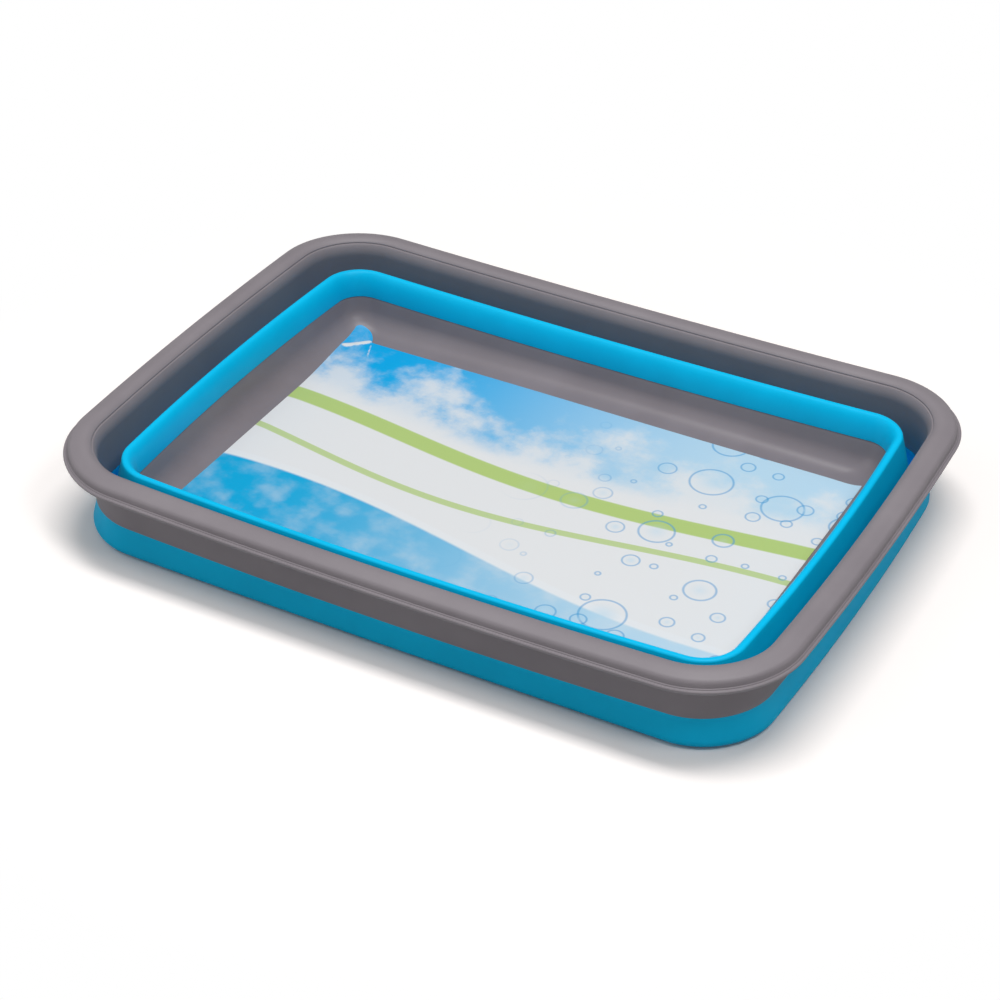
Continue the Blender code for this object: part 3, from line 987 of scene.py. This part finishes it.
def print_colour(tree):
    """The whole print as one colour socket.

    Each colour is laid on by a mask: clouds by noise less the height over the
    skyline, and ribbons, water and foam by the distance from a wave.
    """
    layer = tree.nodes.new("ShaderNodeUVMap")
    layer.uv_map = "sheet"
    scaled = tree.nodes.new("ShaderNodeMapping")
    scaled.inputs["Scale"].default_value = (SHEET_PROPORTION, 1.0, 1.0)
    link(tree, layer, "UV", scaled, "Vector")
    place = scaled.outputs["Vector"]
    parts = tree.nodes.new("ShaderNodeSeparateXYZ")
    link(tree, layer, "UV", parts, "Vector")
    along, across = parts.outputs["X"], parts.outputs["Y"]

    above = wave_height(tree, along, across, *SKYLINE)
    clouds = noise_of(tree, place, scale=3.6, detail=6.0, roughness=0.62)
    thinning = math_node(tree, "MULTIPLY", above, 0.75)
    clouds = math_node(tree, "SUBTRACT", clouds, thinning)
    clouds = ramp_between(tree, clouds, 0.29, 0.54)
    clouds = math_node(tree, "MULTIPLY", clouds, CLOUD_STRENGTH)
    air = mix_colour(tree, ramp_between(tree, along, 0.85, 0.1), PALE, SKY)
    air = mix_colour(tree, clouds, air, WHITE)
    colour = mix_colour(tree, ramp_between(tree, above, -0.05, 0.06), WHITE, air)

    for wave, thick, strength in RIBBONS:
        ribbon = wave_height(tree, along, across, *wave)
        ribbon = math_node(tree, "ABSOLUTE", ribbon)
        ribbon = ramp_between(tree, ribbon, thick, thick * 0.8)
        ribbon = math_node(tree, "MULTIPLY", ribbon, strength)
        colour = mix_colour(tree, ribbon, colour, LIME)

    pool = wave_height(tree, along, across, *SHORE)
    water = mix_colour(tree, ramp_between(tree, along, 0.95, 0.1), PALE, WATER)
    ripples = noise_of(tree, place, scale=9.0, detail=4.0)
    ripples = ramp_between(tree, ripples, 0.4, 0.75)
    ripples = math_node(tree, "MULTIPLY", ripples, RIPPLE_STRENGTH)
    water = mix_colour(tree, ripples, water, WHITE)
    colour = mix_colour(tree, ramp_between(tree, pool, 0.006, -0.006), colour, water)
    foam = ramp_between(tree, math_node(tree, "ABSOLUTE", pool), 0.02, 0.008)
    colour = mix_colour(tree, foam, colour, FOAM)

    where = ramp_between(tree, along, 0.45, 0.75)
    where = math_node(tree, "MULTIPLY", where, BUBBLE_STRENGTH)
    for scale, radius, width in BUBBLES:
        ring, fill = bubbles_on(tree, place, scale, radius, width)
        for mask, tint in ((fill, PALE), (ring, DEEP)):
            mask = math_node(tree, "MULTIPLY", mask, where)
            colour = mix_colour(tree, mask, colour, tint)

    # White along the creases: cracked ink, and a painted highlight on the fold
    crease = tree.nodes.new("ShaderNodeAttribute")
    crease.attribute_name = "crease"
    fibres = noise_of(tree, place, scale=70.0, detail=4.0, roughness=0.7)
    fibres = math_node(tree, "MULTIPLY", fibres, FIBRE_STRENGTH)
    cracks_and_highlight = math_node(tree, "ADD", crease.outputs["Fac"], fibres)
    cracks_and_highlight = ramp_between(tree, cracks_and_highlight, 0.65, 1.15)
    return mix_colour(tree, cracks_and_highlight, colour, WHITE)


# %% Coated paper
def make_paper_material():
    """Coated paper: the print as colour, a faint gloss and fibres in the bump."""
    material, shader = new_material("printed_paper")
    tree = material.node_tree
    tree.links.new(print_colour(tree), shader.inputs["Base Color"])
    finish = dict(bump=0.15, depth=0.1 * MM, smoothest=0.3, spread=0.12)
    add_grain(tree, shader, pebbles=900.0, **finish)
    shader.inputs["Specular IOR Level"].default_value = 0.25
    return material


sheet.data.materials.append(make_paper_material())
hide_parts("paper_label")
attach(sheet, "base")

# %% [markdown]
# ## The floor
#
# The photograph is a catalogue picture, white all round with a gentle shadow
# towards the viewer. A stronger lamp would turn a grey floor white, but bleach
# the basin too. Here the Light Path node makes the floor bright for the camera
# alone.

# %% Floor
FLOOR_SEEN, FLOOR_LIT = (1.16, 1.1, 1.07), (0.62, 0.62, 0.62)
WHITE_FROM, WHITE_BEYOND = 0.19, 0.34
FLOOR_HALF, FLOOR_HEIGHT = 4.0, -0.02 * MM


def make_floor():
    """A large square just under the basin.

    To the camera it is as bright as an overexposed studio floor, a little warm against
    the blue that the wall throws on it, and it turns to the backdrop's plain white away
    from the basin. To every other ray it is a mid grey, and throws little light up.
    """
    points = np.full((4, 3), FLOOR_HEIGHT)
    points[:, :2] = np.array(((-1, -1), (1, -1), (1, 1), (-1, 1))) * FLOOR_HALF
    floor = mesh_object("floor", points, [[0, 1, 2, 3]])
    material, shader = new_material("studio_floor")
    tree = material.node_tree
    tree.nodes.remove(shader)
    seen = tree.nodes.new("ShaderNodeLightPath").outputs["Is Camera Ray"]
    matt = tree.nodes.new("ShaderNodeBsdfDiffuse")
    away = tree.nodes.new("ShaderNodeVectorMath")
    away.operation = "LENGTH"
    link(tree, tree.nodes.new("ShaderNodeTexCoord"), "Object", away, 0)
    away = ramp_between(tree, away.outputs["Value"], WHITE_FROM, WHITE_BEYOND)
    tree.links.new(mix_colour(tree, seen, FLOOR_LIT, FLOOR_SEEN), matt.inputs["Color"])
    white = tree.nodes.new("ShaderNodeEmission")
    both = tree.nodes.new("ShaderNodeMixShader")
    tree.links.new(math_node(tree, "MULTIPLY", seen, away), both.inputs["Fac"])
    link(tree, matt, "BSDF", both, 1)
    link(tree, white, "Emission", both, 2)
    link(tree, both, "Shader", tree.nodes["Material Output"], "Surface")
    material.cycles.emission_sampling = "NONE"
    floor.data.materials.append(material)
    return floor


print("stage", make_floor().name)

# %% [markdown]
# ## The light
#
# The highlights and the shadow come from a long soft source overhead and a
# little light from either side. A picture of a studio on the sky could give
# them, but one large lamp, two weak ones and a dim sky can each be moved alone.

# %% Light
def make_world(horizon, overhead):
    """A sky that brightens upwards, and is white where the camera sees it.

    Its strength is the horizon's plus overhead times the square of how far up the
    direction points.
    """
    world = bpy.data.worlds.new("studio_sky")
    world.use_nodes = True
    bpy.context.scene.world = world
    tree = world.node_tree
    sky = tree.nodes["Background"]
    sky.inputs["Color"].default_value = (1.0, 1.0, 1.0, 1.0)
    direction = tree.nodes.new("ShaderNodeSeparateXYZ")
    link(tree, tree.nodes.new("ShaderNodeTexCoord"), "Generated", direction, "Vector")
    up = math_node(tree, "MAXIMUM", direction.outputs["Z"], 0.0)
    light = math_node(tree, "MULTIPLY", math_node(tree, "MULTIPLY", up, up), overhead)
    light = math_node(tree, "ADD", light, horizon)
    seen = tree.nodes.new("ShaderNodeLightPath").outputs["Is Camera Ray"]
    unseen = math_node(tree, "SUBTRACT", 1.0, seen)
    light = math_node(tree, "ADD", math_node(tree, "MULTIPLY", light, unseen), seen)
    tree.links.new(light, sky.inputs["Strength"])


def soft_light(name, place, aim, sizes, power):
    """A rectangular area lamp at a place, turned towards its aim."""
    lamp = bpy.data.lights.new(name, "AREA")
    lamp.shape = "RECTANGLE"
    lamp.size, lamp.size_y = sizes
    lamp.energy = power
    holder = bpy.data.objects.new(name, lamp)
    holder.rotation_mode = "QUATERNION"
    holder.rotation_quaternion = (Vector(aim) - Vector(place)).to_track_quat("-Z", "Y")
    holder.location = place
    bpy.context.scene.collection.objects.link(holder)
    return holder


# Each lamp: its name, its place, the point it faces, its two sizes and its power
LAMPS = (
    ("key_overhead", (0.1, 0.1, 2.6), (0.1, 0.1, 0.0), (1.6, 0.54), 37.0),
    ("fill_right", (0.75, -0.34, 1.19), (0.0, 0.0, 0.0), (0.32, 0.32), 3.5),
    ("fill_left", (-0.95, -0.7, 0.8), (0.0, 0.0, 0.0), (1.2, 1.2), 3.4),
)
make_world(horizon=0.12, overhead=0.25)
print("lamps", [soft_light(*numbers).name for numbers in LAMPS])

# %% [markdown]
# ## The camera
#
# A camera set by eye leaves every edge a few pixels off. These numbers come
# from fitting the basin's edges to the photograph instead.

# %% Camera
def make_camera():
    """The fitted camera: lens, direction, roll and place in millimetres."""
    lens, azimuth, elevation, roll = 95.335, 28.1819, 34.9034, 0.4951
    shift_x, shift_y, distance = -7.149, 3.924, 1288.813
    a, e, r = (math.radians(angle) for angle in (azimuth, elevation, roll))
    right = np.array((math.cos(a), math.sin(a), 0.0))
    level = np.array((math.sin(a), -math.cos(a), 0.0))
    back = level * math.cos(e) + np.array((0.0, 0.0, math.sin(e)))
    up = np.cross(back, right)
    turned_right = right * math.cos(r) + up * math.sin(r)
    turned_up = up * math.cos(r) - right * math.sin(r)
    place = (shift_x * turned_right + shift_y * turned_up + distance * back) * MM
    data = bpy.data.cameras.new("camera")
    data.lens = lens
    data.sensor_width = 36.0
    data.clip_start, data.clip_end = 0.05, 50.0
    camera = bpy.data.objects.new("camera", data)
    bpy.context.scene.collection.objects.link(camera)
    matrix = np.eye(4)
    matrix[:3] = np.column_stack((turned_right, turned_up, back, place))
    camera.matrix_world = Matrix(matrix.tolist())
    bpy.context.scene.camera = camera
    return camera


print("camera", round(make_camera().data.lens, 1), "mm lens")
bpy.context.scene.view_settings.view_transform = "Standard"
